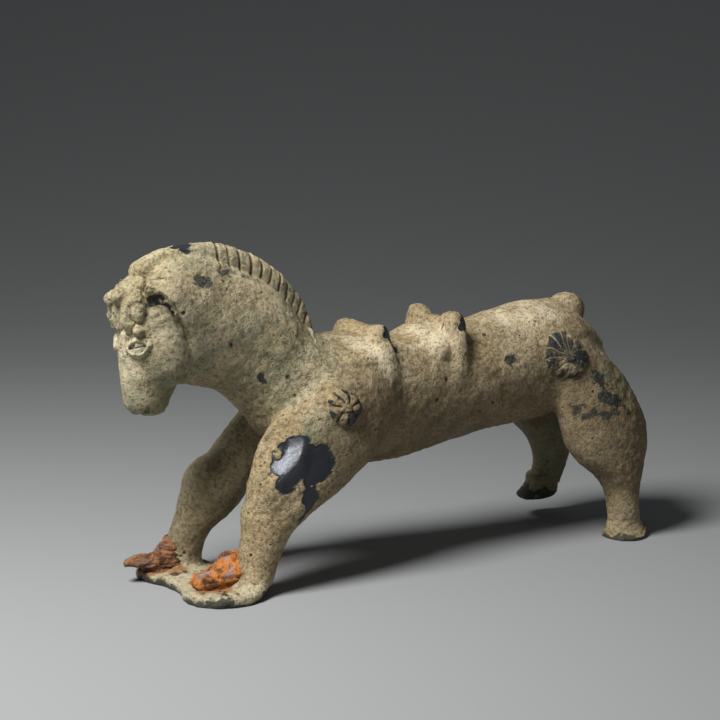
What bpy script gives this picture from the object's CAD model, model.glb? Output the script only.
import math
import bpy
import numpy as np
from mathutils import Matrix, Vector


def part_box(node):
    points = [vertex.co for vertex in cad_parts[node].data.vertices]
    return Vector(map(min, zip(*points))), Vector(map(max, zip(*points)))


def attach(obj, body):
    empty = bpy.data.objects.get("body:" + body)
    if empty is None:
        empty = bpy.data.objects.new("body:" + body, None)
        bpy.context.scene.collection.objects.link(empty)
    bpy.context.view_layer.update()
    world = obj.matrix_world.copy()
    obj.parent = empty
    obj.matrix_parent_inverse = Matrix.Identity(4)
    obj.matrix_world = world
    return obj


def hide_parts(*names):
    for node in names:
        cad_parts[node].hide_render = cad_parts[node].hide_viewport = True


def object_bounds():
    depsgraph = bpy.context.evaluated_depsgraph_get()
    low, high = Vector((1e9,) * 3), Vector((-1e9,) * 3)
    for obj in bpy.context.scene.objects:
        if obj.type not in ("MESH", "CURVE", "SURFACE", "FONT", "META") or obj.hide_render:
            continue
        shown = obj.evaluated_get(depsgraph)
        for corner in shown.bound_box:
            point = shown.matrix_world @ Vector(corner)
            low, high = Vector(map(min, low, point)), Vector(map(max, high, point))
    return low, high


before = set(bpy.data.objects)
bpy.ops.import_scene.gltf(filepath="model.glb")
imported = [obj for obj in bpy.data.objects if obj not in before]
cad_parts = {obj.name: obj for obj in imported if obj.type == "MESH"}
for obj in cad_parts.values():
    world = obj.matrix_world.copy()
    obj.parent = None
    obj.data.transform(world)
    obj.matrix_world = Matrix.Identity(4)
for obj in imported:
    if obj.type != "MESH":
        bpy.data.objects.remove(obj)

cadLow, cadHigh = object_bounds()
metre = 0.001          # shapes are worked out in millimetres
seed = 7
gridStep = 0.4
print("frame loaded:", len(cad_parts), "nodes")

# measuring the CAD pieces


def nodeBox(node):
    low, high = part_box(node)
    return np.array(low) / metre, np.array(high) / metre


def nodePoint(node, along, side, height):
    # a point in a node's box, each share running from 0 at the low side to 1 at the high side
    low, high = nodeBox(node)
    return low + (high - low) * np.array((along, side, height))


def ramp(value, low, high):
    t = np.clip((value - low) / (high - low), 0, 1)
    return t * t * (3 - 2 * t)


def toSection(kind, points, hinge):
    # station along the member, then depth and side within its cross section
    x, y, z = points.T
    if kind == "upright":
        return z, x, y
    if kind == "lengthwise":
        return x, z, y
    if kind == "crosswise":
        return y, z, x
    across, up = x - hinge[0], z - hinge[1]
    return np.arctan2(across, up), np.hypot(across, up), y


def fromSection(kind, station, depth, side, hinge):
    if kind == "upright":
        return np.stack([depth, side, station], -1)
    if kind == "lengthwise":
        return np.stack([station, side, depth], -1)
    if kind == "crosswise":
        return np.stack([side, station, depth], -1)
    return np.stack([hinge[0] + depth * np.sin(station), side, hinge[1] + depth * np.cos(station)], -1)


def fitOval(depth, side):
    # least-squares oval through a section's outer points: points well inside it, such as a
    # socket's walls, are dropped and the fit is repeated
    middle = np.array([depth.max() + depth.min(), side.max() + side.min()]) / 2
    half = np.array([depth.max() - depth.min(), side.max() - side.min()]) / 2
    for _ in range(6):
        u, v = depth - middle[0], side - middle[1]
        keep = (u / half[0]) ** 2 + (v / half[1]) ** 2 > 0.94
        if keep.sum() < 12:
            break
        u, v = u[keep], v[keep]
        a, b, c, d = np.linalg.lstsq(np.stack([u * u, u, v * v, v], -1), np.ones(len(u)), rcond=None)[0]
        if a <= 0 or c <= 0:
            break
        shift = np.array([-b / (2 * a), -d / (2 * c)])
        half = np.sqrt((1 + a * shift[0] ** 2 + c * shift[1] ** 2) / np.array([a, c]))
        middle = middle + shift
    return [middle[0], middle[1], half[0], half[1]]


def measureMember(node, plan):
    # cut the CAD mesh across at some stations and read the middle and half sizes of each section
    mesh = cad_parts[node].data
    points = np.empty(len(mesh.vertices) * 3)
    mesh.vertices.foreach_get("co", points)
    points = points.reshape(-1, 3) / metre
    edges = np.empty(len(mesh.edges) * 2, np.int64)
    mesh.edges.foreach_get("vertices", edges)
    edges = edges.reshape(-1, 2)
    station, depth, side = toSection(plan["kind"], points, plan.get("hinge"))
    stations = station.min() + (station.max() - station.min()) * np.asarray(plan["shares"])
    rows = []
    for level in stations:
        crossing = (station[edges[:, 0]] - level) * (station[edges[:, 1]] - level) < 0
        first, second = edges[crossing].T
        part = (level - station[first]) / (station[second] - station[first])
        u = depth[first] + (depth[second] - depth[first]) * part
        v = side[first] + (side[second] - side[first]) * part
        if plan.get("boxed"):
            rows.append([(u.max() + u.min()) / 2, (v.max() + v.min()) / 2,
                         (u.max() - u.min()) / 2, (v.max() - v.min()) / 2])
        else:
            rows.append(fitOval(u, v))
    return smoothRows(plan, stations, np.array(rows))


def smoothRows(plan, old, rows, count=90):
    # resample the sections along a smooth curve, a cubic through each pair of neighbours
    slope = np.gradient(rows, old, axis=0)
    new = np.linspace(old[0], old[-1], count)
    i = np.clip(np.searchsorted(old, new) - 1, 0, len(old) - 2)
    width = (old[i + 1] - old[i])[:, None]
    t = (new - old[i])[:, None] / width
    rows = ((2 * t**3 - 3 * t**2 + 1) * rows[i] + (t**3 - 2 * t**2 + t) * width * slope[i]
            + (3 * t**2 - 2 * t**3) * rows[i + 1] + (t**3 - t**2) * width * slope[i + 1])
    perUnit = rows[[0, -1], 0] if plan["kind"] == "fan" else np.ones(2)
    return {"kind": plan["kind"], "hinge": plan.get("hinge"), "stations": new, "rows": rows,
            "caps": np.array(plan["caps"]) / perUnit, "perUnit": perUnit, "power": plan.get("power", 2.0)}


# the neck and the mane are cut by planes that fan out from one line under the chest
fanAhead = 14.5        # how far that line lies ahead of the trunk, mm
fanHinge = (nodeBox("trunk")[0][0] - fanAhead, 0.0)
limbShares = (0.03, 0.1, 0.18, 0.26, 0.34, 0.42, 0.5, 0.6, 0.7, 0.8, 0.9, 0.96)
wallShares = (0.1, 0.15, 0.22, 0.3, 0.4, 0.5, 0.6, 0.7, 0.78, 0.85, 0.9)
legPlan = {"kind": "upright", "caps": (1, 3), "shares": limbShares}
wallMember = {"kind": "crosswise", "caps": (1.8, 1.8), "boxed": True, "shares": wallShares}
memberPlan = {
    "trunk": {"kind": "lengthwise", "caps": (4, 3),
              "shares": (0.03, 0.08, 0.15, 0.24, 0.33, 0.42, 0.51, 0.6, 0.69, 0.77, 0.84, 0.88,
                         0.915, 0.94)},
    "neck": {"kind": "fan", "hinge": fanHinge, "caps": (3, 6), "shares": (0.3, 0.4, 0.5, 0.6, 0.7, 0.8)},
    "head": {"kind": "upright", "caps": (1, 1.6),
             "shares": (0.015, 0.05, 0.1, 0.17, 0.25, 0.35, 0.46, 0.58, 0.7, 0.8, 0.9, 0.96, 0.985)},
    "foreleg_left": legPlan,
    "foreleg_right": legPlan,
    "hind_leg_left": legPlan,
    "hind_leg_right": legPlan,
    "mane_crest": {"kind": "fan", "hinge": fanHinge, "caps": (3, 1.5), "boxed": True, "power": 2.8,
                   "shares": (0.03, 0.1, 0.2, 0.3, 0.4, 0.5, 0.6, 0.7, 0.8, 0.9, 0.96)},
    "saddle_pommel": {**wallMember, "power": 3.4},
    "saddle_cantle": {**wallMember, "power": 3.0},
}
members = {node: measureMember(node, plan) for node, plan in memberPlan.items()}
wallPlan = {"saddle_pommel": 0.8, "saddle_cantle": 0.35}    # how far the dip between the horns is filled
hornsFrom = 9.5        # the horns stand further than this from the middle, mm


def levelWall(node, share):
    rows = members[node]["rows"]
    top, foot = rows[:, 0] + rows[:, 2], rows[:, 0] - rows[:, 2]
    between = np.abs(members[node]["stations"]) < hornsFrom
    top = np.where(between, top + share * (top.max() - top), top)
    rows[:, 0], rows[:, 2] = (top + foot) / 2, (top - foot) / 2


# the near forearm swells forward round a height, fading above and below it, all in mm
forearmPlan = {"middle": 40, "above": 8, "below": 13, "push": 5.6}


def swellForearm():
    leg, plan = members["foreleg_left"], forearmPlan
    off = leg["stations"] - plan["middle"]
    push = plan["push"] * np.exp(-((off / np.where(off > 0, plan["above"], plan["below"])) ** 2))
    leg["rows"][:, 0] -= push / 2
    leg["rows"][:, 2] += push / 2


neckPlan = {
    "crestGap": 3.6,       # how far the mane strip stands above the neck
    "flushGap": 0.7,       # the same where the strip runs out over the poll
    "flushOver": (-6, 4),  # degrees of lean over which the strip comes up to its full height
    "fadeOver": (16, 22),  # degrees of lean over which the lift fades out at the withers
    "reachOn": -9.5,       # degrees of lean at the neck's head end
    "throatFrom": 3,       # the throat rises ahead of this lean, by mm for each degree
    "throatRise": 0.28,
}


def raiseNeck():
    # carry the neck on to the head, then lift its upper edge to just under the mane strip
    neck, mane, plan = members["neck"], members["mane_crest"], neckPlan
    old, rows = neck["stations"], neck["rows"]
    new = np.concatenate([np.linspace(math.radians(plan["reachOn"]), old[0], 30)[:-1], old])
    lean = np.degrees(new)
    rows = np.stack([np.interp(new, old, rows[:, k]) for k in range(4)], -1)
    crest = np.interp(new, mane["stations"], mane["rows"][:, 0] + mane["rows"][:, 2])
    share = ramp(lean, *plan["flushOver"])
    outer = crest - plan["flushGap"] - share * (plan["crestGap"] - plan["flushGap"])
    outer = outer + (rows[:, 0] + rows[:, 2] - outer) * ramp(lean, *plan["fadeOver"])
    inner = rows[:, 0] - rows[:, 2] + plan["throatRise"] * np.maximum(plan["throatFrom"] - lean, 0)
    rows[:, 0], rows[:, 2] = (outer + inner) / 2, (outer - inner) / 2
    neck["stations"], neck["rows"] = new, rows


raiseNeck()
swellForearm()
for node, share in wallPlan.items():
    levelWall(node, share)
print("sections measured:", len(members))

# the cast body as one distance field


def ovalField(node, points):
    # distance to a member: its section is looked up at the point's station, and past either end
    # the section closes like a dome
    member = members[node]
    stations, rows, power = member["stations"], member["rows"], member["power"]
    caps, perUnit = member["caps"], member["perUnit"]
    station, depth, side = toSection(member["kind"], points, member["hinge"])
    held = np.clip(station, stations[0], stations[-1])
    middle, shift, deep, wide = (np.interp(held, stations, rows[:, k]) for k in range(4))
    u, v = (depth - middle) / deep, (side - shift) / wide
    before = station < held
    beyond = (station - held) / np.where(before, caps[0], caps[1])
    capLength = np.where(before, caps[0] * perUnit[0], caps[1] * perUnit[1])
    reach = np.sqrt((np.abs(u) ** power + np.abs(v) ** power) ** (2 / power) + beyond**2)
    steep = np.sqrt((u / deep) ** 2 + (v / wide) ** 2 + (beyond / capLength) ** 2)
    return reach * (reach - 1) / np.maximum(steep, 1e-4)


def turned(points, pitch, yaw):
    # points seen from a frame turned by yaw about Z, then by pitch about Y, in degrees
    a, b = math.radians(pitch), math.radians(yaw)
    x = points[:, 0] * math.cos(b) + points[:, 1] * math.sin(b)
    y = points[:, 1] * math.cos(b) - points[:, 0] * math.sin(b)
    z = points[:, 2]
    return np.stack([x * math.cos(a) - z * math.sin(a), y, x * math.sin(a) + z * math.cos(a)], -1)


def lumpAt(node, shares, half, **more):
    # a solid oval: its middle as shares of a node's box, its half sizes in mm, then how softly it
    # melds and how it is turned
    return {"at": nodePoint(node, *shares), "half": half, **more}


def lumpPair(node, shares, half, yaw=0, **more):
    # one oval on the left side and its mirror image on the right
    along, side, height = shares
    return [lumpAt(node, shares, half, yaw=yaw, **more),
            lumpAt(node, (along, 1 - side, height), half, yaw=-yaw, **more)]


def localTo(lump, points):
    # points seen from an oval's own middle and axes, as shares of its half sizes
    return turned(points - lump["at"], lump.get("pitch", 0), lump.get("yaw", 0)) / np.array(lump["half"])


def lumpField(lump, points):
    # distance to a solid oval
    local = localTo(lump, points)
    reach = np.linalg.norm(local, axis=1)
    steep = np.linalg.norm(local / np.array(lump["half"]), axis=1)
    return reach * (reach - 1) / np.maximum(steep, 1e-4)


def meld(first, second, blend):
    # the nearer of two distances, with a fillet of about the blend's size between them
    near = np.maximum(blend - np.abs(first - second), 0) / blend
    return np.minimum(first, second) - near * near * blend / 4


def swollen(field, lumps, points):
    for lump in lumps:
        field = meld(field, lumpField(lump, points), lump["blend"])
    return field


def carved(field, lumps, points):
    for lump in lumps:
        field = -meld(-field, lumpField(lump, points), lump["blend"])
    return field


def lumpsField(lumps, points):
    return swollen(lumpField(lumps[0], points), lumps[1:], points)


plateLow, plateHigh = nodeBox("front_sole_plate")
plateShape = {
    "web": 7.6,        # half width of the strip between the lobes
    "notch": 3.0,      # fillet between strip and lobes
    "rounding": 0.9,   # edge radius
}


def plateField(points):
    # two round lobes joined by a strip, given a thickness with rounded edges
    shape = plateShape
    local = points - (plateLow + plateHigh) / 2
    lobe = (plateHigh[0] - plateLow[0]) / 2
    apart = (plateHigh[1] - plateLow[1]) / 2 - lobe
    lobes = np.hypot(local[:, 0], np.abs(local[:, 1]) - apart) - lobe
    strip = np.maximum(np.abs(local[:, 0]) - shape["web"], np.abs(local[:, 1]) - apart)
    outline = meld(lobes, strip, shape["notch"]) + shape["rounding"]
    height = np.abs(local[:, 2]) - (plateHigh[2] - plateLow[2]) / 2 + shape["rounding"]
    outside = np.hypot(np.maximum(outline, 0), np.maximum(height, 0))
    return outside + np.minimum(np.maximum(outline, height), 0) - shape["rounding"]


# muscles and swellings melded onto the members
formPlan = [
    lumpAt("foreleg_left", (0.24, 0.4, 0.45), (4.4, 5.6, 6.4), blend=3, pitch=30),    # knees
    lumpAt("foreleg_right", (0.2, 0.5, 0.42), (4.4, 5.4, 6.0), blend=3, pitch=30),
    lumpAt("neck", (0.09, 0.5, 0.87), (8.4, 7.8, 7.6), blend=2.5),                    # poll
    lumpAt("foreleg_left", (0.36, 0.36, 0.55), (3.2, 4.4, 8.5), blend=2.2, pitch=16),
    lumpAt("trunk", (0.215, 0.5, 0.72), (9, 12, 6.2), blend=4),                       # under the saddle
    lumpAt("trunk", (0.44, 0.5, 0.75), (6, 12.5, 5.6), blend=3, pitch=-20),
]
hornPlan = lumpPair("saddle_cantle", (0.6, 0.2, 0.76), (2.8, 3.0, 3.6), blend=2.4)
headPlan = [
    *lumpPair("head", (0.47, 0.13, 0.43), (5.4, 3.4, 7.4), blend=2.0, pitch=-12),     # cheeks
    *lumpPair("head", (0.14, 0.22, 0.635), (3.4, 1.4, 1.2), blend=1.2, yaw=50),       # brows
    lumpAt("head", (0.36, 0.5, 0.05), (2.9, 3.0, 2.2), blend=0.9),                    # chin
]
tailPlan = [
    lumpAt("tail_stump", (0.2, 0.5, 0.6), (6.5, 4.0, 4.6), blend=2.4, pitch=-20),
    lumpAt("tail_stump", (0.62, 0.5, 0.7), (5.6, 4.5, 4.5), blend=1.2, pitch=14),
]
# hollows carved out: the mouth cleft and the nostrils, the lines behind the cheeks, the dip of the seat
hollowPlan = [
    lumpAt("head", (0.2, 0.5, 0.0), (0.7, 9, 3.0), blend=0.7, pitch=24),
    *lumpPair("head", (-0.02, 0.2, 0.17), (1.4, 1.1, 0.8), blend=0.6, pitch=-30),
]
creasePlan = lumpPair("head", (0.6, -0.08, 0.62), (1.1, 2.8, 7.0), blend=1.4, pitch=-30)
seatPlan = [lumpAt("trunk", (0.36, 0.5, 1.0), (6.4, 18, 6.2), blend=3)]
blendPlan = {          # size of the fillet where each member meets the body, mm
    "neck": 4.5,
    "foreleg_left": 3, "foreleg_right": 3,
    "hind_leg_left": 2.6, "hind_leg_right": 2.6,
    "head": 0.8,
    "mane_crest": 0.3,
    "saddle_pommel": 2.6, "saddle_cantle": 2.2,
    "front_sole_plate": 2.4,
}
maneGroove = {"depth": 0.35, "out": 0.4, "width": 0.6}    # worn along the foot of the mane strip, mm


def joined(field, nodes, points):
    for node in nodes:
        field = meld(field, ovalField(node, points), blendPlan[node])
    return field


def bodyField(points):
    field = carved(ovalField("trunk", points), seatPlan, points)
    field = joined(field, ("neck", "foreleg_left", "foreleg_right"), points)
    field = joined(field, ("hind_leg_left", "hind_leg_right"), points)
    field = swollen(field, formPlan, points)
    head = carved(swollen(ovalField("head", points), headPlan, points), hollowPlan, points)
    field = carved(meld(field, head, blendPlan["head"]), creasePlan, points)
    mane = ovalField("mane_crest", points)
    groove = np.exp(-(((mane - maneGroove["out"]) / maneGroove["width"]) ** 2))
    field = meld(field + maneGroove["depth"] * groove, mane, blendPlan["mane_crest"])
    field = joined(field, ("saddle_pommel", "saddle_cantle"), points)
    field = swollen(field, hornPlan + tailPlan, points)
    field = meld(field, plateField(points), blendPlan["front_sole_plate"])
    return carved(field, facets, points)


# a flat facet where a thick flake has come away from the near forearm: a large ball sunk a little
# way into the surface
facetPlan = {
    "near": nodePoint("foreleg_left", 0.305, 0.16, 0.59),
    "away": (-0.6, -0.57, 0.56),
    "radius": 22,
    "depth": 0.95,
    "blend": 0.5,
}
facets = []


def sinkFacet(plan, steps=12):
    away, point = np.array(plan["away"]), plan["near"][None, :]
    for _ in range(steps):
        point = point - away * bodyField(point)[:, None]
    middle = point[0] + away * (plan["radius"] - plan["depth"])
    facets.append({"at": middle, "half": (plan["radius"],) * 3, "blend": plan["blend"]})


sinkFacet(facetPlan)


# crust and pits


def cubeKey(cubes, salt):
    # one repeatable random whole number for each cube of space
    key = cubes @ np.array([73856093, 19349663, 83492791]) + (seed + salt) * 15485863
    key = (key ^ (key >> 13)) * 1274126177
    return key ^ (key >> 16)


def latticeNoise(points, size, salt):
    # random values at the corners of cubes of this size, mixed smoothly inside each cube, -1 to 1
    cell = points / size + salt * 17.31
    base = np.floor(cell).astype(np.int64)
    part = cell - base
    part = part**3 * (part * (part * 6 - 15) + 10)
    total = np.zeros(len(points))
    for corner in np.ndindex(2, 2, 2):
        value = (cubeKey(base + corner, salt) & 0xFFFF) / 32767.5 - 1
        total += value * np.prod(np.where(corner, part, 1 - part), axis=1)
    return total


def layeredNoise(points, size, layers, salt):
    # each layer has half the size and about half the strength of the one before
    total, strength = np.zeros(len(points)), 1.0
    for layer in range(layers):
        total += strength * latticeNoise(points, size / 2**layer, salt + 31 * layer)
        strength *= 0.55
    return total / 1.3


def pitNoise(points, size, share, salt):
    # one pit at a random place in some of the cubes: 1 at the pit's middle, 0 outside it
    cell = points / size
    base = np.floor(cell).astype(np.int64)
    deepest = np.zeros(len(points))
    for corner in np.ndindex(3, 3, 3):
        cube = base + np.array(corner) - 1
        key = cubeKey(cube, salt)
        place = cube + np.stack([key & 1023, (key >> 10) & 1023, (key >> 20) & 1023], -1) / 1023
        chosen = ((key >> 30) & 1023) / 1023 < share
        radius = 0.08 + 0.17 * ((key >> 40) & 255) / 255
        distance = np.linalg.norm(cell - place, axis=1)
        deepest = np.maximum(deepest, chosen * np.clip(1 - distance / radius, 0, 1))
    return deepest


# patches of one colour or state, each an oval on the body whose outline noise breaks up
patchPlan = {
    "bare": [    # crust broken off to dark shiny metal
        lumpAt("foreleg_left", (0.322, 0.1, 0.563), (3.9, 9, 7.6), pitch=30),
        lumpAt("foreleg_left", (0.43, 0.1, 0.56), (5.4, 9, 5.4), pitch=10),
        lumpAt("foreleg_left", (0.4, 0.1, 0.41), (1.5, 9, 4.6), pitch=25),
        lumpAt("foreleg_left", (0.27, 0.1, 0.93), (0.9, 9, 1.3), pitch=20),
        lumpAt("mane_crest", (0.26, 0.5, 0.99), (2.0, 6, 0.8)),
        lumpAt("saddle_pommel", (1.0, 0.12, 0.88), (2.1, 4.6, 4.8), pitch=-14),
        lumpAt("saddle_cantle", (1.05, 0.15, 0.82), (2.3, 4.4, 3.4)),
    ],
    "green": [   # green-black and pale green bloom
        lumpAt("hind_leg_right", (0.5, 0.5, 0.2), (14, 9, 16)),
        lumpAt("hind_leg_left", (0.56, 0.1, 0.74), (8, 10, 6)),
        lumpAt("head", (0.4, 0.5, 0.1), (10, 12, 6)),
        lumpAt("head", (0.9, 0.4, 0.5), (4, 12, 10)),
        lumpAt("neck", (0.5, 0.2, 0.55), (12, 12, 9)),
        lumpAt("foreleg_left", (0.5, 0.1, 0.66), (7, 9, 7)),
        lumpAt("front_sole_plate", (0.5, 0.5, 0.2), (12, 26, 2.2)),
    ],
    "dark": [    # black edges and smears
        lumpAt("hind_hoof_left", (0.5, 0.5, 0.0), (12, 12, 1.4)),
        lumpAt("hind_hoof_left", (1.0, 0.3, 0.3), (1.7, 9, 1.9)),
        lumpAt("hind_hoof_right", (0.5, 0.5, 0.0), (9, 9, 3.4)),
        lumpAt("front_sole_plate", (0.5, 0.5, -0.1), (22, 48, 1.7)),
        lumpAt("hind_leg_left", (0.29, 0.1, 0.632), (5.6, 9, 0.75), pitch=4),
        lumpAt("hind_leg_left", (0.38, 0.1, 0.61), (7.5, 9, 1.5), pitch=3),
        lumpAt("hind_leg_left", (0.47, 0.1, 0.66), (4.4, 9, 2.0), pitch=22),
        lumpAt("hind_leg_left", (0.42, 0.1, 0.72), (1.4, 9, 4.0), pitch=-28),
        lumpAt("neck", (0.24, 0.1, 0.91), (3.4, 6, 1.4), pitch=14),
        lumpAt("neck", (0.33, 0.1, 0.945), (2.0, 6, 1.0), pitch=-10),
        lumpAt("hind_leg_right", (0.2, 0.5, 0.66), (5, 12, 2.4)),
        lumpAt("trunk", (0.625, 0.1, 0.66), (2.8, 6, 1.4)),
    ],
    "pale": [    # thick whitish crust
        lumpAt("saddle_pommel", (0.14, 0.1, 0.45), (9, 9, 3.0), pitch=42),
        lumpAt("trunk", (0.43, 0.25, 0.84), (6, 10, 3.6), pitch=-10),
        lumpAt("trunk", (0.7, 0.3, 0.95), (14, 9, 4)),
        lumpAt("trunk", (0.93, 0.2, 0.62), (2.2, 9, 7), pitch=-25),
        lumpAt("front_sole_plate", (0.5, 0.5, 1.2), (12, 26, 2.0)),
        lumpAt("head", (0.05, 0.5, 0.4), (2.0, 9, 6)),
    ],
    "stain": [   # brown earth left on the shaded sides
        lumpAt("trunk", (0.5, 0.1, 0.16), (46, 16, 16)),
        lumpAt("trunk", (0.84, 0.2, 0.5), (17, 14, 12)),
        lumpAt("hind_leg_left", (0.5, 0.2, 0.52), (20, 15, 27)),
        lumpAt("foreleg_left", (0.85, 0.1, 0.76), (13, 12, 12)),
        lumpAt("neck", (0.3, 0.1, 0.2), (9, 14, 10)),
        lumpAt("hind_leg_right", (0.5, 0.5, 0.6), (18, 12, 18)),
    ],
    "rust": [    # stain around the irons
        lumpAt("iron_fixing_left", (0.5, 0.45, 0.2), (8.6, 7.6, 3)),
        lumpAt("iron_fixing_right", (0.55, 0.5, 0.2), (8.6, 6.6, 3)),
    ],
}
patchWidth = {         # mm over which a mask turns over
    "bare": 0.7, "green": 3.0, "dark": 1.6, "pale": 3.0, "stain": 9.0, "rust": 2.0,
}


def patchField(kind, points, rough):
    # above 0 inside the patches of a kind, below 0 outside, roughly in mm
    field = np.full(len(points), -9.0)
    for patch in patchPlan[kind]:
        inward = 1 - np.linalg.norm(localTo(patch, points), axis=1)
        field = np.maximum(field, inward * min(patch["half"][0], patch["half"][2]))
    return field + rough


crust = {
    "lump": 0.24,      # soft lumps of the casting, mm
    "lumpSize": 7.0,
    "grain": 0.16,     # grain of the crust
    "grainSize": 1.5,
    "step": 0.09,      # thickness of the raised patches of crust
    "stepSize": 9.0,
    "pit": 0.36,       # depth of the casting pits
    "bigPit": 2.8,     # spacing of the large and the small pits
    "smallPit": 1.5,
    "chip": 0.2,       # thickness of crust lost at a chip
    "edgeSize": 2.8,   # size of the bays along a patch's outline
    "evenSize": 12.0,  # size of the stretches with more or less grain
    "grainKept": 0.25,   # share of the grain left on bare metal
}


def crustHeight(points):
    # soft lumps, grain and raised patches, less the pits and the chips; also the paint masks
    grain = layeredNoise(points, crust["grainSize"], 3, 53)
    rough = layeredNoise(points, crust["edgeSize"], 4, 201)
    pits = np.maximum(pitNoise(points, crust["bigPit"], 0.1, 5),
                      pitNoise(points, crust["smallPit"], 0.18, 6) * 0.8)
    raised = ramp(layeredNoise(points, crust["stepSize"], 4, 91), 0.05, 0.25)
    fields = {kind: patchField(kind, points, rough * (1.5 if kind == "bare" else 1.8))
              for kind in patchPlan}
    masks = {kind: np.clip(0.5 + field / patchWidth[kind], 0, 1) for kind, field in fields.items()}
    bare = ramp(fields["bare"], -0.2, 0.2)
    uneven = 0.6 + 0.8 * ramp(layeredNoise(points, crust["evenSize"], 2, 17), -0.4, 0.5)
    height = crust["lump"] * layeredNoise(points, crust["lumpSize"], 3, 11)
    height += crust["step"] * raised * (1 - bare)
    height += crust["grain"] * grain * uneven * (1 - (1 - crust["grainKept"]) * bare)
    height -= crust["pit"] * pits * (1 - bare) + crust["chip"] * bare
    masks["pit"] = np.clip(pits * 1.8, 0, 1)
    masks["raised"] = raised
    return height, masks


# grids made into pieces


def gridNormals(grid):
    # across the columns, which join up, and along the rows; turned to point away from the middle
    normal = np.cross(np.roll(grid, -1, axis=1) - np.roll(grid, 1, axis=1), np.gradient(grid, axis=0))
    normal /= np.maximum(np.linalg.norm(normal, axis=2, keepdims=True), 1e-9)
    score = ((grid - grid.reshape(-1, 3).mean(0)) * normal).sum()
    return normal if score > 0 else -normal


def settle(grid, outLimit=2.5, inLimit=-1.6, steps=7):
    # move each point along the grid's normal onto the melded body, within limits in mm
    points, ways = grid.reshape(-1, 3), gridNormals(grid).reshape(-1, 3)
    moved = np.zeros(len(points))
    for _ in range(steps):
        moved = np.clip(moved - bodyField(points + ways * moved[:, None]), inLimit, outLimit)
    return (points + ways * moved[:, None]).reshape(grid.shape)


def gridPiece(name, grid, masks):
    # rows of a grid joined by quads, columns joined round, and each end closed by a fan
    rows, columns = grid.shape[:2]
    points = np.concatenate([grid.reshape(-1, 3), [grid[0].mean(0), grid[-1].mean(0)]])
    i, j = np.meshgrid(np.arange(rows - 1), np.arange(columns), indexing="ij")
    k = (j + 1) % columns
    quads = np.stack([i * columns + j, i * columns + k, (i + 1) * columns + k, (i + 1) * columns + j], -1)
    quads = quads.reshape(-1, 4)
    j, k, last = np.arange(columns), (np.arange(columns) + 1) % columns, (rows - 1) * columns
    fans = np.concatenate([np.stack([k, j, np.full(columns, rows * columns)], -1),
                           np.stack([last + j, last + k, np.full(columns, rows * columns + 1)], -1)])
    triangles = np.concatenate([quads[:, :3], quads[:, [0, 2, 3]], fans])
    a, b, c = (points[triangles[:, n]] for n in range(3))
    if (np.cross(a, b) * c).sum() < 0:
        quads, fans = quads[:, ::-1], fans[:, ::-1]
    mesh = bpy.data.meshes.new(name)
    mesh.vertices.add(len(points))
    mesh.vertices.foreach_set("co", (points * metre).astype(np.float32).ravel())
    mesh.loops.add(quads.size + fans.size)
    mesh.loops.foreach_set("vertex_index", np.concatenate([quads.ravel(), fans.ravel()]).astype(np.int32))
    mesh.polygons.add(len(quads) + len(fans))
    starts = np.concatenate([np.arange(len(quads)) * 4, quads.size + np.arange(len(fans)) * 3])
    mesh.polygons.foreach_set("loop_start", starts.astype(np.int32))
    mesh.polygons.foreach_set("use_smooth", np.ones(len(starts), bool))
    mesh.update(calc_edges=True)
    for key, values in masks.items():
        layer = mesh.attributes.new(key, "FLOAT", "POINT")
        values = np.concatenate([values, [values[:columns].mean(), values[-columns:].mean()]])
        layer.data.foreach_set("value", values.astype(np.float32))
    piece = bpy.data.objects.new(name, mesh)
    bpy.context.scene.collection.objects.link(piece)
    return piece


def crusted(node, grid, material="patina", relief=None, strength=1.0, extraMasks=None):
    # lay the crust over a finished shape, keep its paint masks, and stand it in for the CAD node
    height, masks = crustHeight(grid.reshape(-1, 3))
    height = height * strength
    if relief is not None:
        height = height + relief.ravel()
    for key, values in (extraMasks or {}).items():
        masks[key] = np.maximum(masks[key], values.ravel())
    grid = grid + gridNormals(grid) * height.reshape(grid.shape[:2])[..., None]
    piece = gridPiece(node + "_cast", grid, masks)
    piece.data.materials.append(materials[material])
    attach(piece, "root")
    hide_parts(node)
    return piece


def tubeGrid(node, step):
    # the member's oval section carried along its stations, closed like a dome past either end
    member = members[node]
    stations, rows, power = member["stations"], member["rows"], member["power"]
    middle = fromSection(member["kind"], stations, rows[:, 0], rows[:, 1], member["hinge"])
    length = np.concatenate([[0], np.cumsum(np.linalg.norm(np.diff(middle, axis=0), axis=1))])
    inner = np.interp(np.linspace(0, length[-1], max(int(length[-1] / step), 8)), length, stations)
    lean = np.linspace(0.03, math.pi / 2, max(int(rows[:, 3].max() * 0.6 / step), 6))[:-1]
    first, last = member["caps"]
    station = np.concatenate([inner[0] - first * np.cos(lean), inner,
                              inner[-1] + last * np.cos(lean[::-1])])
    shrink = np.concatenate([np.sin(lean), np.ones(len(inner)), np.sin(lean[::-1])])
    held = np.clip(station, stations[0], stations[-1])
    depth0, side0, deep, wide = (np.interp(held, stations, rows[:, k])[:, None] for k in range(4))
    girth = math.pi * (np.median(rows[:, 2]) + np.median(rows[:, 3]))
    turn = np.linspace(0, 2 * math.pi, max(int(girth / step), 16), endpoint=False)
    c, s = np.cos(turn), np.sin(turn)
    c, s = np.sign(c) * np.abs(c) ** (2 / power), np.sign(s) * np.abs(s) ** (2 / power)
    across = np.repeat(station[:, None], len(turn), 1)
    return fromSection(member["kind"], across, depth0 + deep * shrink[:, None] * c,
                       side0 + wide * shrink[:, None] * s, member["hinge"])


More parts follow.
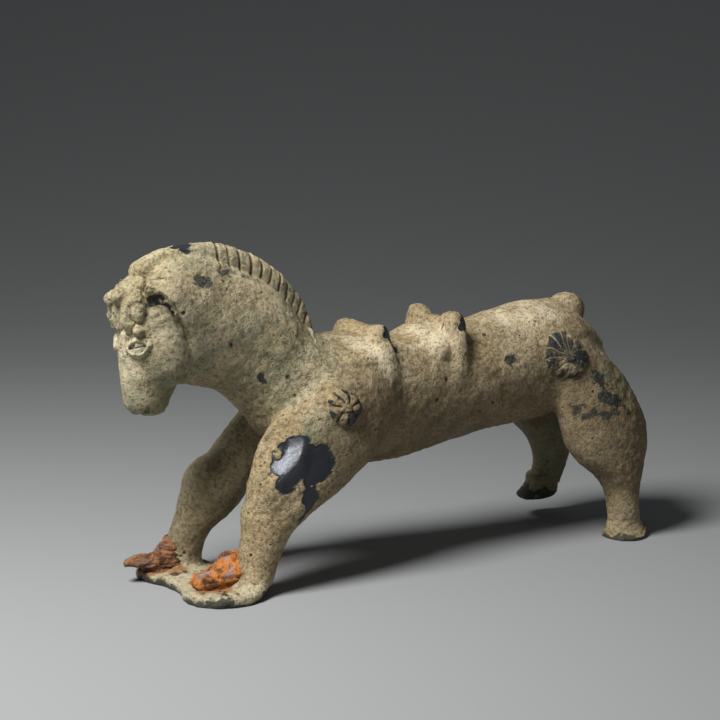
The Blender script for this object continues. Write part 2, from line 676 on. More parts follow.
def reachOut(middle, rays, field, reach, steps):
    # how far along each ray the field turns positive, found by halving
    near, far = np.zeros(len(rays)), np.full(len(rays), float(reach))
    for _ in range(steps):
        halfway = (near + far) / 2
        inside = field(middle + rays * halfway[:, None]) < 0
        near, far = np.where(inside, halfway, near), np.where(inside, far, halfway)
    return near


def starGrid(middle, lumps, reach, step):
    # rays from the middle in every direction, each cut at the surface of the melded lumps
    rows = max(int(math.pi * reach * 0.6 / step), 12)
    tilt = np.linspace(0, math.pi, rows + 2)[1:-1, None]
    turn = np.linspace(0, 2 * math.pi, rows * 2, endpoint=False)[None, :]
    rays = np.stack([np.sin(tilt) * np.cos(turn), np.sin(tilt) * np.sin(turn), np.cos(tilt) + 0 * turn], -1)
    length = reachOut(middle, rays.reshape(-1, 3), lambda points: lumpsField(lumps, points), reach, 18)
    return middle + rays * length.reshape(rays.shape[:2])[..., None]


def drape(start, away, steps=16):
    # let points fall against a direction until they lie on the melded body
    points = start.reshape(-1, 3).copy()
    for _ in range(steps):
        points -= away * np.clip(bodyField(points), -2, 2)[:, None]
    return points.reshape(start.shape)

# materials


def addNode(tree, kind, values=None, **settings):
    made = tree.nodes.new(kind)
    for key, value in settings.items():
        setattr(made, key, value)
    for key, value in (values or {}).items():
        if isinstance(value, bpy.types.NodeSocket):
            tree.links.new(value, made.inputs[key])
        else:
            made.inputs[key].default_value = value
    return made


def noiseAt(tree, place, size, detail=4.0, rough=0.6):
    # fractal noise whose largest blotches are about this size in mm
    values = {"Vector": place, "Scale": 1 / (size * metre), "Detail": detail, "Roughness": rough}
    return addNode(tree, "ShaderNodeTexNoise", values).outputs["Fac"]


def stretch(tree, value, low, high, toLow=0.0, toHigh=1.0):
    values = {"Value": value, "From Min": low, "From Max": high, "To Min": toLow, "To Max": toHigh}
    return addNode(tree, "ShaderNodeMapRange", values).outputs["Result"]


def sums(tree, operation, first, second):
    return addNode(tree, "ShaderNodeMath", {0: first, 1: second}, operation=operation).outputs[0]


def times(tree, first, second):
    return sums(tree, "MULTIPLY", first, second)


def mixColour(tree, share, first, second):
    return addNode(tree, "ShaderNodeMix", {0: share, 6: first, 7: second}, data_type="RGBA").outputs[2]


def newGroup(name, inputs, outputs):
    tree = bpy.data.node_groups.new(name, "ShaderNodeTree")
    for key, kind, value in inputs:
        tree.interface.new_socket(key, in_out="INPUT", socket_type=kind).default_value = value
    for key, kind in outputs:
        tree.interface.new_socket(key, in_out="OUTPUT", socket_type=kind)
    return tree, tree.nodes.new("NodeGroupInput").outputs, tree.nodes.new("NodeGroupOutput").inputs


patinaColours = {
    "Tan": (0.35, 0.255, 0.125, 1),
    "Olive": (0.215, 0.17, 0.085, 1),
    "Cream": (0.66, 0.56, 0.37, 1),
    "Brown": (0.1, 0.06, 0.028, 1),
    "Pale Green": (0.2, 0.235, 0.14, 1),
    "Dark Green": (0.018, 0.024, 0.017, 1),
    "Earth": (0.15, 0.105, 0.052, 1),
    "Black": (0.014, 0.012, 0.011, 1),
    "Metal": (0.05, 0.056, 0.066, 1),
    "Rust": (0.3, 0.15, 0.06, 1),
}
maskNames = ("bare", "pit", "raised", "pale", "stain", "green", "dark", "rust")


def makePatinaGroup():
    # crust colour: tan and olive clouds, cream on raised crust, brown in grain and specks, with the
    # painted masks for earth, pale crust, green bloom, rust, pits, black edges and bare metal
    inputs = [(key, "NodeSocketColor", value) for key, value in patinaColours.items() if key != "Rust"]
    inputs += [("Rust Colour", "NodeSocketColor", patinaColours["Rust"])]
    inputs += [(key.capitalize(), "NodeSocketFloat", 0.0) for key in maskNames]
    inputs += [("Cream Amount", "NodeSocketFloat", 0.5)]
    outputs = [("Color", "NodeSocketColor"), ("Roughness", "NodeSocketFloat"),
               ("Metallic", "NodeSocketFloat"), ("Height", "NodeSocketFloat")]
    tree, given, result = newGroup("patinaCrust", inputs, outputs)
    place = addNode(tree, "ShaderNodeTexCoord").outputs["Object"]
    clouds = noiseAt(tree, place, 15, 3)
    blotch = noiseAt(tree, place, 4.5, 5)
    grain = noiseAt(tree, place, 1.0, 5, 0.72)
    fine = noiseAt(tree, place, 0.42, 3, 0.7)

    def sharpened(key, spread, softness):
        # a painted mask whose edge follows the grain
        wobble = times(tree, sums(tree, "SUBTRACT", grain, 0.5), spread)
        return stretch(tree, sums(tree, "ADD", given[key], wobble), 0.5 - softness, 0.5 + softness)

    colour = mixColour(tree, stretch(tree, clouds, 0.4, 0.6), given["Tan"], given["Olive"])
    warm = stretch(tree, blotch, 0.48, 0.66, 0.0, 0.55)
    colour = mixColour(tree, warm, colour, given["Tan"])
    creamShare = times(tree, stretch(tree, grain, 0.5, 0.62), given["Cream Amount"])
    raisedShare = times(tree, given["Raised"], 0.3)
    colour = mixColour(tree, times(tree, sums(tree, "ADD", creamShare, raisedShare), 0.75),
                       colour, given["Cream"])
    stain = times(tree, given["Stain"], stretch(tree, blotch, 0.3, 0.65, 0.8, 0.35))
    colour = mixColour(tree, stain, colour, given["Earth"])
    paleShare = times(tree, given["Pale"], stretch(tree, blotch, 0.32, 0.52, 0.0, 0.92))
    colour = mixColour(tree, paleShare, colour, given["Cream"])
    green = times(tree, given["Green"], stretch(tree, blotch, 0.42, 0.62))
    colour = mixColour(tree, times(tree, green, 0.7), colour, given["Pale Green"])
    specks = stretch(tree, fine, 0.6, 0.72, 0.0, 0.5)
    brownShare = stretch(tree, grain, 0.48, 0.37, 0.0, 0.75)
    colour = mixColour(tree, sums(tree, "MAXIMUM", specks, brownShare), colour, given["Brown"])
    greenSpots = times(tree, given["Green"], stretch(tree, grain, 0.56, 0.64, 0.0, 0.7))
    colour = mixColour(tree, greenSpots, colour, given["Dark Green"])
    colour = mixColour(tree, sharpened("Rust", 1.6, 0.25), colour, given["Rust Colour"])
    pit = stretch(tree, given["Pit"], 0.1, 0.6, 0.0, 0.92)
    colour = mixColour(tree, pit, colour, given["Black"])
    dark = sharpened("Dark", 2.8, 0.16)
    colour = mixColour(tree, times(tree, dark, 0.9), colour, given["Dark Green"])
    rim = stretch(tree, given["Bare"], 0.05, 0.45, 0.0, 0.6)
    colour = mixColour(tree, rim, colour, given["Dark Green"])
    bare = sharpened("Bare", 1.1, 0.04)
    metalTone = mixColour(tree, stretch(tree, fine, 0.55, 0.72), given["Metal"], given["Brown"])
    tree.links.new(mixColour(tree, bare, colour, metalTone), result["Color"])
    crustRough = stretch(tree, grain, 0.3, 0.7, 0.46, 0.7)
    darkGloss = times(tree, dark, 0.22)
    dull = sums(tree, "SUBTRACT", crustRough, darkGloss)
    metalRough = stretch(tree, blotch, 0.35, 0.65, 0.22, 0.38)
    mixed = addNode(tree, "ShaderNodeMix", {0: bare, 2: dull, 3: metalRough}, data_type="FLOAT").outputs[0]
    tree.links.new(mixed, result["Roughness"])
    tree.links.new(times(tree, bare, 0.6), result["Metallic"])
    crustHigh = sums(tree, "ADD", grain, times(tree, fine, 0.45))
    flat = times(tree, crustHigh, stretch(tree, bare, 0.0, 1.0, 1.0, 0.18))
    tree.links.new(sums(tree, "SUBTRACT", flat, times(tree, pit, 0.5)), result["Height"])
    return tree


def makeRustGroup():
    # flaking iron rust: orange powder, brown crust in blotches, blue-grey scale where it is smooth
    inputs = [("Orange", "NodeSocketColor", (0.62, 0.22, 0.045, 1)),
              ("Brown", "NodeSocketColor", (0.1, 0.04, 0.018, 1)),
              ("Pale", "NodeSocketColor", (0.5, 0.3, 0.13, 1)),
              ("Scale Grey", "NodeSocketColor", (0.2, 0.2, 0.25, 1)),
              ("Scale Share", "NodeSocketFloat", 0.5)]
    outputs = [("Color", "NodeSocketColor"), ("Roughness", "NodeSocketFloat"),
               ("Height", "NodeSocketFloat")]
    tree, given, result = newGroup("rustFlakes", inputs, outputs)
    place = addNode(tree, "ShaderNodeTexCoord").outputs["Object"]
    blotch = noiseAt(tree, place, 3.4, 4)
    grain = noiseAt(tree, place, 1.1, 5, 0.7)
    fine = noiseAt(tree, place, 0.4, 3)
    colour = mixColour(tree, stretch(tree, blotch, 0.42, 0.6), given["Orange"], given["Brown"])
    colour = mixColour(tree, stretch(tree, grain, 0.54, 0.7, 0.0, 0.7), colour, given["Pale"])
    colour = mixColour(tree, stretch(tree, fine, 0.45, 0.32, 0.0, 0.8), colour, given["Brown"])
    smooth = stretch(tree, noiseAt(tree, place, 5.5, 1), 0.56, 0.6)
    scale = times(tree, smooth, given["Scale Share"])
    tree.links.new(mixColour(tree, scale, colour, given["Scale Grey"]), result["Color"])
    tree.links.new(stretch(tree, scale, 0.0, 1.0, 0.85, 0.42), result["Roughness"])
    flakesHigh, levelled = sums(tree, "ADD", grain, fine), stretch(tree, scale, 0.0, 1.0, 1.0, 0.25)
    tree.links.new(times(tree, flakesHigh, levelled), result["Height"])
    return tree


patinaLook = {"group": makePatinaGroup(), "masks": maskNames, "bump": 0.65, "specular": 0.42}
rustLook = {"group": makeRustGroup(), "masks": (), "bump": 0.6, "specular": 0.3}
shaderSockets = {"Color": "Base Color", "Roughness": "Roughness", "Metallic": "Metallic"}


def crustMaterial(name, look, **changes):
    # masks and changed inputs go into the group, and its values into the shader, which keeps its
    # constants on its own sockets
    material = bpy.data.materials.new(name)
    material.use_nodes = True
    tree = material.node_tree
    group = addNode(tree, "ShaderNodeGroup", node_tree=look["group"])
    for key, value in changes.items():
        group.inputs[key.replace("_", " ")].default_value = value
    for key in look["masks"]:
        mask = addNode(tree, "ShaderNodeAttribute", attribute_name=key, attribute_type="GEOMETRY")
        tree.links.new(mask.outputs["Fac"], group.inputs[key.capitalize()])
    shader = tree.nodes["Principled BSDF"]
    for socket in group.outputs:
        if socket.name in shaderSockets:
            tree.links.new(socket, shader.inputs[shaderSockets[socket.name]])
    relief = {"Height": group.outputs["Height"], "Distance": look["bump"] * metre, "Strength": 1.0}
    high = addNode(tree, "ShaderNodeBump", relief)
    tree.links.new(high.outputs["Normal"], shader.inputs["Normal"])
    shader.inputs["Specular IOR Level"].default_value = look["specular"]
    return material


materials = {
    "patina": crustMaterial("bronzePatina", patinaLook),
    "patinaHead": crustMaterial("bronzePatinaHead", patinaLook, Tan=(0.33, 0.27, 0.145, 1),
                                Olive=(0.235, 0.225, 0.13, 1)),
    "patinaEye": crustMaterial("bronzePatinaEye", patinaLook, Tan=(0.4, 0.36, 0.22, 1),
                               Olive=(0.33, 0.32, 0.2, 1), Cream_Amount=0.8),
    "patinaGreen": crustMaterial("bronzePatinaGreen", patinaLook, Tan=(0.24, 0.205, 0.11, 1),
                                 Cream_Amount=0.3),
    "patinaPlate": crustMaterial("bronzePatinaPlate", patinaLook, Tan=(0.46, 0.39, 0.25, 1),
                                 Olive=(0.34, 0.31, 0.19, 1), Cream_Amount=0.9),
    "rust": crustMaterial("ironRust", rustLook),
    "rustDull": crustMaterial("ironRustDull", rustLook, Orange=(0.33, 0.15, 0.065, 1),
                              Pale=(0.4, 0.27, 0.16, 1), Scale_Share=0.15),
}
print("materials made:", len(materials))

# rolled members


manePlan = {
    "pitch": 2.95,         # distance between the cuts along the crest
    "width": 0.34,         # half width of a cut
    "depth": 0.6,
    "reach": (7.4, 4.0),   # how far the cuts run down each side, at the poll and at the withers
    "ledge": 0.35,         # how far the cut strip stands proud of the neck
    "from": (-3, 1),       # degrees of lean over which the cuts begin
}


def maneRelief(grid):
    # straight cuts across the crest at an even pitch, and a worn groove where they stop on the neck
    points = grid.reshape(-1, 3)
    mane, plan = members["mane_crest"], manePlan
    station, depth, side = toSection("fan", points, fanHinge)
    crest = np.interp(station, mane["stations"], mane["rows"][:, 0] + mane["rows"][:, 2])
    reach = np.interp(station, mane["stations"][[0, -1]], plan["reach"])
    below = crest - depth + 0.5 * latticeNoise(points, 4.0, 324)
    along = station * np.median(mane["rows"][:, 0]) + 0.7 * latticeNoise(points, 6.0, 321)
    off = np.abs(along / plan["pitch"] % 1 - 0.5) * plan["pitch"]
    started = ramp(np.degrees(station), *plan["from"]) * (station < mane["stations"][-1])
    inStrip = ramp(below, reach, reach - 0.8) * started
    cut = np.exp(-((off / plan["width"]) ** 2)) * inStrip * (0.75 + 0.35 * latticeNoise(points, 4.0, 322))
    worn = ramp(layeredNoise(points, 3.0, 2, 325), -0.5, 0.4)
    groove = np.exp(-(((below - reach - 0.3) / 0.6) ** 2)) * started * worn
    sides = ramp(np.abs(side), 0.3, 1.6)
    relief = plan["ledge"] * inStrip - plan["depth"] * cut * (0.45 + 0.55 * sides) - 0.3 * groove
    relief += 0.16 * inStrip * layeredNoise(points, 2.0, 2, 323)
    masks = {"pit": cut * 0.5 + groove * 0.45, "rust": cut * 0.75, "pale": groove}
    return relief.reshape(grid.shape[:2]), {key: np.clip(mask, 0, 1) for key, mask in masks.items()}


memberLooks = {
    "trunk": (1.0, "patina"), "neck": (1.0, "patinaHead"), "head": (0.7, "patinaHead"),
    "foreleg_left": (0.9, "patina"), "foreleg_right": (1.0, "patinaGreen"),
    "hind_leg_left": (0.9, "patina"), "hind_leg_right": (1.0, "patinaGreen"),
    "mane_crest": (0.6, "patinaHead"), "saddle_pommel": (0.75, "patina"), "saddle_cantle": (0.75, "patina"),
}
for node, (fineness, look) in memberLooks.items():
    grid = settle(tubeGrid(node, gridStep * fineness))
    if node in ("mane_crest", "neck"):
        relief, cutMasks = maneRelief(grid)
        crusted(node, grid, material=look, relief=relief, extraMasks=cutMasks)
    else:
        crusted(node, grid, material=look)
print("members made:", len(memberLooks))

# sole plate


def plateGrid(step):
    # rings round the plate's outline: across the top, over the edge, and across the underside
    turn = np.linspace(0, 2 * math.pi, int(110 / step), endpoint=False)
    away = np.stack([np.cos(turn), np.sin(turn), 0 * turn], -1)
    middle = (plateLow + plateHigh) / 2
    near = reachOut(middle, away, plateField, 40, 20)
    half, edge = (plateHigh[2] - plateLow[2]) / 2, plateShape["rounding"]
    flat = np.linspace(0.02, 1, int(20 / step))
    bend = np.linspace(0, math.pi, int(5 / step))
    share = np.concatenate([flat, np.ones(len(bend)), flat[::-1]])
    inset = np.concatenate([np.full(len(flat), edge), edge - edge * np.sin(bend), np.full(len(flat), edge)])
    height = np.concatenate([np.full(len(flat), half), half * np.cos(bend), np.full(len(flat), -half)])
    reach = (near[None, :] - inset[:, None]) * share[:, None]
    grid = middle + away[None] * reach[..., None]
    grid[..., 2] = middle[2] + height[:, None]
    return grid


sole = settle(plateGrid(gridStep * 1.2), outLimit=2.0, inLimit=-0.5)
crusted("front_sole_plate", sole, material="patinaPlate", strength=0.8)

# hooves

hoofPlan = {
    # height in mm with a share of the hoof's radius, then with a share of the leg's
    "rim": ((0.0, 0.2), (0.0, 0.93), (0.25, 1.0), (0.8, 1.02), (1.5, 0.94)),
    "ankle": ((3.0, 1.16), (4.4, 1.05), (6.2, 0.97), (6.8, 0.3)),
    "toe": {"left": 0.04, "right": 0.16},      # how much further the toe stands out
    "curl": 0.35,      # waviness of the rim, mm
    "heelLift": {"left": 2.6, "right": 0.8},   # the rim turns up behind, mm
    "tilt": {"left": 0.0, "right": 13.0},
}


def hoofGrid(side, step):
    # a flared profile carried round an upright line, the rim wavy, the toe drawn forward and the
    # top leaning over to meet the leg
    low, high = nodeBox("hind_hoof_" + side)
    leg = members["hind_leg_" + side]["rows"][0]
    hoofRadius = (high[1] - low[1]) / 2
    rim, ankle = np.array(hoofPlan["rim"]), np.array(hoofPlan["ankle"])
    heights = np.concatenate([rim[:, 0], ankle[:, 0]])
    along = np.linspace(0, len(heights) - 1, int(16 / step))

    def carried(values):
        return np.interp(along, np.arange(len(heights)), values)[:, None]

    height, share = carried(heights), carried(np.concatenate([rim[:, 1], ankle[:, 1] * 0.7]))
    deep = carried(np.concatenate([rim[:, 1] * hoofRadius, ankle[:, 1] * leg[2]]))
    wide = carried(np.concatenate([rim[:, 1] * hoofRadius, ankle[:, 1] * leg[3]]))
    turn = np.linspace(0, 2 * math.pi, int(40 / step), endpoint=False)[None, :]
    nearFloor = np.clip(1 - height / 4, 0, 1)
    flare = 1 - hoofPlan["toe"][side] * np.cos(turn) * nearFloor
    nearRim = np.exp(-(((height - 0.8) / 1.2) ** 2)) * (share > 0.8)
    wave = nearRim * hoofPlan["curl"] * np.sin(3 * turn + 1.2)
    lift = hoofPlan["heelLift"][side] * np.clip(np.cos(turn), 0, 1) ** 2 * share
    lift = lift * np.clip(1 - height / 5, 0, 1)
    grid = np.stack([(deep * flare + wave) * np.cos(turn), (wide * flare + wave) * np.sin(turn),
                     height + lift], -1)
    grid = turned(grid.reshape(-1, 3), hoofPlan["tilt"][side], 0).reshape(grid.shape)
    middle = (low + high) / 2
    climb = ramp(height, 0.5, 5.0)
    grid[..., 0] += middle[0] + climb * (leg[0] - middle[0])
    grid[..., 1] += middle[1] + climb * (leg[1] - middle[1])
    grid[..., 2] += low[2] - grid[..., 2].min()
    return grid


for side in ("left", "right"):
    crusted("hind_hoof_" + side, hoofGrid(side, gridStep * 0.8), strength=0.8,
            material="patina" if side == "left" else "patinaGreen")
print("feet made")

# small parts modelled as lumps

forelockPlan = [
    lumpAt("forelock", (0.62, 0.5, 0.26), (4.2, 5.8, 6.4), blend=1.0),
    lumpAt("forelock", (0.2, 0.36, 0.46), (2.2, 1.9, 2.1), blend=0.7, pitch=20),
    lumpAt("forelock", (0.24, 0.64, 0.4), (2.2, 1.9, 2.2), blend=0.7, pitch=20),
    lumpAt("forelock", (0.34, 0.24, 0.08), (1.8, 1.4, 4.0), blend=0.5, pitch=-6),
    lumpAt("forelock", (0.28, 0.52, 0.02), (1.8, 1.7, 3.6), blend=0.5, pitch=-6),
    lumpAt("forelock", (0.34, 0.78, 0.08), (1.8, 1.4, 4.0), blend=0.5, pitch=-6),
    lumpAt("forelock", (0.56, 0.1, 0.3), (1.7, 1.5, 4.2), blend=0.5),
    lumpAt("forelock", (0.56, 0.9, 0.3), (1.7, 1.5, 4.2), blend=0.5),
    lumpAt("forelock", (0.82, 0.5, 0.66), (3.4, 4.4, 2.6), blend=1.0),
]
grid = starGrid(nodePoint("forelock", 0.6, 0.5, 0.3), forelockPlan, 10, gridStep * 0.5)
knobs = 0.35 * layeredNoise(grid.reshape(-1, 3), 2.6, 3, 701)
crusted("forelock", grid, material="patinaHead", relief=knobs)
grid = starGrid(nodePoint("tail_stump", 0.5, 0.5, 0.6), tailPlan, 13, gridStep * 0.8)
crusted("tail_stump", settle(grid, outLimit=1.0))

ironPlan = {
    "left": [
        lumpAt("iron_fixing_left", (0.5, 0.46, 0.36), (7.6, 6.4, 2.6), blend=1.5),
        lumpAt("iron_fixing_left", (0.68, 0.42, 0.5), (6.8, 6.4, 4.4), blend=1.5, yaw=20),
        lumpAt("iron_fixing_left", (0.2, 0.3, 0.42), (3.8, 3.4, 2.6), blend=0.8),
        lumpAt("iron_fixing_left", (0.78, 0.5, 0.86), (3.8, 4.2, 2.4), blend=0.7, pitch=25),
    ],
    "right": [
        lumpAt("iron_fixing_right", (0.62, 0.5, 0.3), (6.0, 4.8, 2.2), blend=1.5),
        lumpAt("iron_fixing_right", (0.74, 0.5, 0.52), (4.2, 4.6, 5.0), blend=2.0, pitch=12),
        lumpAt("iron_fixing_right", (0.4, 0.42, 0.42), (6.2, 3.6, 2.0), blend=2.0, pitch=10),
        lumpAt("iron_fixing_right", (0.06, 0.42, 0.52), (2.6, 1.9, 1.1), blend=1.0, pitch=-6),
    ],
}
for side, plan in ironPlan.items():
    node = "iron_fixing_" + side
    grid = starGrid(nodePoint(node, 0.56, 0.5, 0.3), plan, 14, gridStep * 0.7)
    flat = grid.reshape(-1, 3)
    layers = flat * np.array([0.5, 0.5, 2.2])      # flakes lie flat, so the noise is squeezed in height
    flakes = 0.8 * layeredNoise(layers, 3.0, 4, 501) + 0.35 * np.abs(layeredNoise(flat, 1.6, 3, 502))
    look = "rust" if side == "left" else "rustDull"
    crusted(node, grid, material=look, strength=0.6, relief=flakes)

# ears: a pointed leaf, its face hollowed and its rim left proud

earPlan = {
    "height": 9.6,
    "width": 3.0,      # half width at the widest
    "thick": 1.5,
    "bowl": 1.3,       # depth of the hollow
    "turnOut": 34,     # the face looks forward and out, degrees from straight out
}


def earGrid(side, step):
    sign = -1 if side == "left" else 1
    out = math.radians(earPlan["turnOut"])
    face = np.array([-math.sin(out), sign * math.cos(out), 0.12])
    foot = nodePoint("ear_" + side, 0.86, 0.5 - sign * 0.1, 0.05)
    tip = nodePoint("ear_" + side, -0.12, 0.5 - sign * 0.05, 0.93)
    across = np.cross(tip - foot, face)
    across /= np.linalg.norm(across)
    rise = np.linspace(0.02, 0.995, int(earPlan["height"] / step))[:, None]
    turn = np.linspace(0, 2 * math.pi, int(16 / step), endpoint=False)[None, :]
    width = earPlan["width"] * np.sin(math.pi * (0.26 + 0.74 * rise)) ** 0.75
    thick = earPlan["thick"] * (1 - 0.55 * rise) * np.sqrt(np.clip((1 - rise) * 6, 0, 1))
    s = np.sin(turn)
    bowl = earPlan["bowl"] * np.clip(1.05 - rise, 0, 1) * np.where(s > 0, s**2, 0)
    front = thick * (0.25 * s) - bowl * 0.9
    depth = np.where(s > 0, front, thick * s)
    spine = foot + (tip - foot) * rise[..., None]
    return spine + across * (width * np.cos(turn))[..., None] + face * depth[..., None], s


for side in ("left", "right"):
    grid, s = earGrid(side, gridStep * 0.5)
    worn = 0.3 * layeredNoise(grid.reshape(-1, 3), 2.2, 3, 801)
    hollow = ramp(s, 0.45, 0.85) * ramp(worn.reshape(grid.shape[:2]), 0.12, -0.08)
    shade = {"pit": hollow, "dark": hollow}
    crusted("ear_" + side, grid, material="patinaHead", relief=worn, extraMasks=shade)

# eyes: an almond ring with a slit across the ball

eyePlan = {
    "long": 3.3, "high": 2.3,     # half sizes of the almond
    "ring": 0.9, "ball": 0.7, "slit": 0.4,
    "turnOut": 40, "tilt": 12,
}


def eyeGrid(side, step):
    # almond rings draped on the head, then raised by the ring, ball and slit
    sign = -1 if side == "left" else 1
    out, tilt = math.radians(eyePlan["turnOut"]), math.radians(eyePlan["tilt"])
    away = np.array([-math.sin(out), sign * math.cos(out), 0.0])
    level = np.array([math.cos(out), sign * math.sin(out), 0.0])
    long = level * math.cos(tilt) + np.array([0, 0, math.sin(tilt)])
    high = np.cross(long, away) * sign
    reach = np.linspace(0.03, 1.3, int(6 / step))[:, None]
    turn = np.linspace(0, 2 * math.pi, int(20 / step), endpoint=False)[None, :]
    u = eyePlan["long"] * reach * np.cos(turn)
    v = eyePlan["high"] * reach * np.sign(np.sin(turn)) * np.abs(np.sin(turn)) ** 1.35
    middle = nodePoint("eye_" + side, 0.24, 0.5 - sign * 0.29, 0.32)
    grid = drape(middle + away * 3 + long * u[..., None] + high * v[..., None], away)
    ring = eyePlan["ring"] * np.exp(-(((reach - 0.84) / 0.22) ** 2))
    lift = ring + eyePlan["ball"] * np.clip(1 - reach**2, 0, 1)
    slit = np.exp(-((v / 0.28) ** 2)) * (reach < 0.72)
    lift = lift - eyePlan["slit"] * slit - 0.5 * ramp(reach, 1.05, 1.3)
    grid = grid + away * lift[..., None]
    under = grid[-1:] - away * 1.2
    mask = np.concatenate([slit + 0.6 * np.exp(-(((reach - 0.6) / 0.12) ** 2)) + 0 * turn, 0 * turn])
    return np.concatenate([grid, under]), mask


for side in ("left", "right"):
    grid, mask = eyeGrid(side, gridStep * 0.45)
    crusted("eye_" + side, grid, material="patinaEye", extraMasks={"pit": mask * 0.45})

# rosettes: a disc of petals round a boss

rosettePlan = {
    "shoulder": {"petals": 7, "high": 1.6, "ridge": 0.5, "groove": 0.6, "dark": 0.3, "bare": 0.22},
    "haunch": {"petals": 13, "high": 1.6, "ridge": 0.3, "groove": 0.1, "dark": 0.62, "bare": 0.05},
    "boss": 0.24,      # share of the radius
    "scallop": 0.07,   # how far the outline dips between petals
}


def rosetteGrid(node, step):
    # rings draped on the body, lifted into a round-shouldered disc; petals are low ridges with
    # grooves between, worn unevenly, round a small boss
    plan = rosettePlan[node.split("_")[1]]
    low, high = nodeBox(node)
    sign = -1 if low[1] < 0 else 1
    radius = (high[2] - low[2]) / 2
    reach = np.linspace(0.03, 1.12, int(radius * 1.1 / step))[:, None]
    turn = np.linspace(0, 2 * math.pi, int(6.3 * radius / step), endpoint=False)[None, :]
    middle = (low + high) / 2
    middle[1] = (low if sign < 0 else high)[1] + sign * 2
    across = np.stack([np.cos(turn), 0 * turn, np.sin(turn)], -1)
    away = np.array([0.0, sign, 0.0])
    grid = drape(middle + across * (radius * reach)[..., None], away)
    points = grid.reshape(-1, 3)
    worn = layeredNoise(points, 3.0, 3, 601).reshape(grid.shape[:2])
    sway = 0.35 * layeredNoise(points, 5.0, 2, 602).reshape(grid.shape[:2])
    petal = np.abs(np.cos((turn + sway) * plan["petals"] / 2))
    edge = 1.0 - rosettePlan["scallop"] * (1 - petal)
    disc = np.clip(1 - (reach / edge) ** 5, 0, 1) ** 0.6
    inPetal = ramp(reach, rosettePlan["boss"], rosettePlan["boss"] + 0.1) * ramp(reach, 1.0, 0.86)
    lift = disc * (plan["high"] - plan["ridge"] * inPetal * (1 - petal**0.7) + 0.38 * worn)
    boss = np.sqrt(np.clip(1 - (reach / rosettePlan["boss"]) ** 2, 0, 1))
    lift = lift + 0.35 * boss - 0.6 * ramp(reach, 0.99, 1.1)
    shade = inPetal * ramp(petal, 0.5, 0.1) * plan["groove"]
    inDisc = ramp(reach, 1.02, 0.9)
    dark = np.clip(0.5 + (worn + plan["dark"] - 0.45) * 2.2, 0, 1) * inDisc * ramp(petal, 0.12, 0.4)
    bare = np.clip(0.5 + (worn + plan["bare"] - 0.45) * 2.2, 0, 1) * inDisc * ramp(petal, 0.3, 0.6)
    grid = np.concatenate([grid + away * lift[..., None], grid[-1:] - away * 1.2])
    masks = {"pit": shade, "dark": dark, "bare": bare}
    return grid, {key: np.concatenate([mask, 0 * turn]) for key, mask in masks.items()}


for place in ("shoulder_left", "shoulder_right", "haunch_left", "haunch_right"):
    grid, masks = rosetteGrid("rosette_" + place, gridStep * 0.45)
    crusted("rosette_" + place, grid, extraMasks=masks)
print("small parts made")

# floor, lights and camera


def plainMaterial(name, colour, roughness):
    material = bpy.data.materials.new(name)
    material.use_nodes = True
    shader = material.node_tree.nodes["Principled BSDF"]
    shader.inputs["Base Color"].default_value = (*colour, 1)
    shader.inputs["Roughness"].default_value = roughness
    shader.inputs["Specular IOR Level"].default_value = 0.2
    return material


stagePlan = {
    "camera": {"azimuth": -32.3, "elevation": 8.9, "distance": 533, "lens": 100, "shift": 0},
    "floor": {"front": 4000, "back": 350, "wide": 2600, "sweep": 1300, "colour": (0.285, 0.29, 0.29)},
    "key": {"azimuth": -73, "elevation": 56, "distance": 390, "size": 180, "power": 3.15, "shift": -45},
    "fill": {"azimuth": 20, "elevation": 25, "distance": 1100, "size": 700, "power": 0.25, "shift": 0},
    "sky": ((0.92, 0.96, 1.0), 0.085),
}
aim = Vector(((cadLow[0] + cadHigh[0]) / 2 - 0.0074, 0.0, (cadLow[2] + cadHigh[2]) / 2 + 0.0106))


def wayFrom(azimuth, elevation):
    a, e = math.radians(azimuth), math.radians(elevation)
    return Vector((math.sin(a) * math.cos(e), -math.cos(a) * math.cos(e), math.sin(e)))


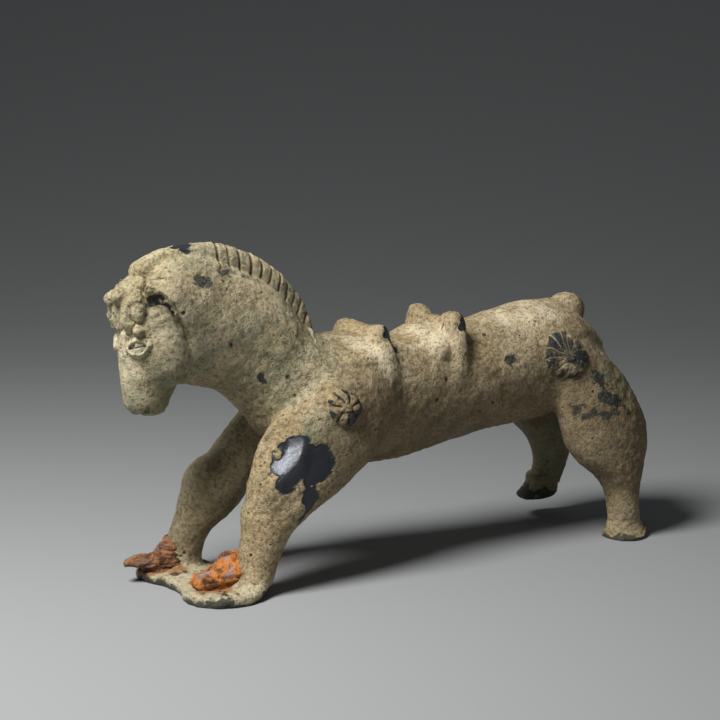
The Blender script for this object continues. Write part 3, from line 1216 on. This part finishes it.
def makeFloor():
    # flat in front, then a quarter circle up into a wall, turned to face the camera
    plan = stagePlan["floor"]
    bend = np.linspace(0, math.pi / 2, 24)
    profile = np.concatenate([[[-plan["front"], 0], [plan["back"], 0]],
                              np.stack([plan["back"] + plan["sweep"] * np.sin(bend),
                                        plan["sweep"] * (1 - np.cos(bend))], -1)[1:],
                              [[plan["back"] + plan["sweep"], 2200]]])
    across = np.linspace(-plan["wide"], plan["wide"], 5)
    a = math.radians(stagePlan["camera"]["azimuth"])
    back, right = np.array([-math.sin(a), math.cos(a), 0]), np.array([math.cos(a), math.sin(a), 0])
    points = (profile[:, None, :1] * back + across[None, :, None] * right
              + profile[:, None, 1:] * np.array([0, 0, 1.0])) * metre
    rows, columns = points.shape[:2]
    i, j = np.meshgrid(np.arange(rows - 1), np.arange(columns - 1), indexing="ij")
    corner = (i * columns + j).ravel()
    faces = np.stack([corner, corner + 1, corner + columns + 1, corner + columns], -1)
    mesh = bpy.data.meshes.new("studioFloor")
    mesh.from_pydata(points.reshape(-1, 3).tolist(), [], faces.tolist())
    mesh.polygons.foreach_set("use_smooth", np.ones(len(faces), bool))
    floor = bpy.data.objects.new("studioFloor", mesh)
    mesh.materials.append(plainMaterial("paleBackdrop", plan["colour"], 0.8))
    bpy.context.scene.collection.objects.link(floor)


def hang(name, data, plan):
    # a lamp or camera stood off from the aim point and turned to look back along that line
    made = bpy.data.objects.new(name, data)
    away = wayFrom(plan["azimuth"], plan["elevation"])
    made.location = aim + (away * plan["distance"] + Vector((plan["shift"], 0, 0))) * metre
    made.rotation_euler = (-away).to_track_quat("-Z", "Y").to_euler()
    bpy.context.scene.collection.objects.link(made)
    return made


def makeLamp(name):
    plan = stagePlan[name]
    lamp = bpy.data.lights.new(name + "Light", "AREA")
    lamp.shape, lamp.size, lamp.energy = "DISK", plan["size"] * metre, plan["power"]
    hang(name + "Light", lamp, plan)


def makeCamera():
    plan = stagePlan["camera"]
    lens = bpy.data.cameras.new("camera")
    lens.lens, lens.sensor_width = plan["lens"], 36
    lens.clip_start, lens.clip_end = 0.01, 20
    bpy.context.scene.camera = hang("camera", lens, plan)


makeFloor()
makeLamp("key")
makeLamp("fill")
makeCamera()
sky = bpy.data.worlds.new("studioSky")
sky.use_nodes = True
sky.node_tree.nodes["Background"].inputs["Color"].default_value = (*stagePlan["sky"][0], 1)
sky.node_tree.nodes["Background"].inputs["Strength"].default_value = stagePlan["sky"][1]
bpy.context.scene.world = sky
bpy.context.scene.view_settings.view_transform = "Standard"
print("stage set")
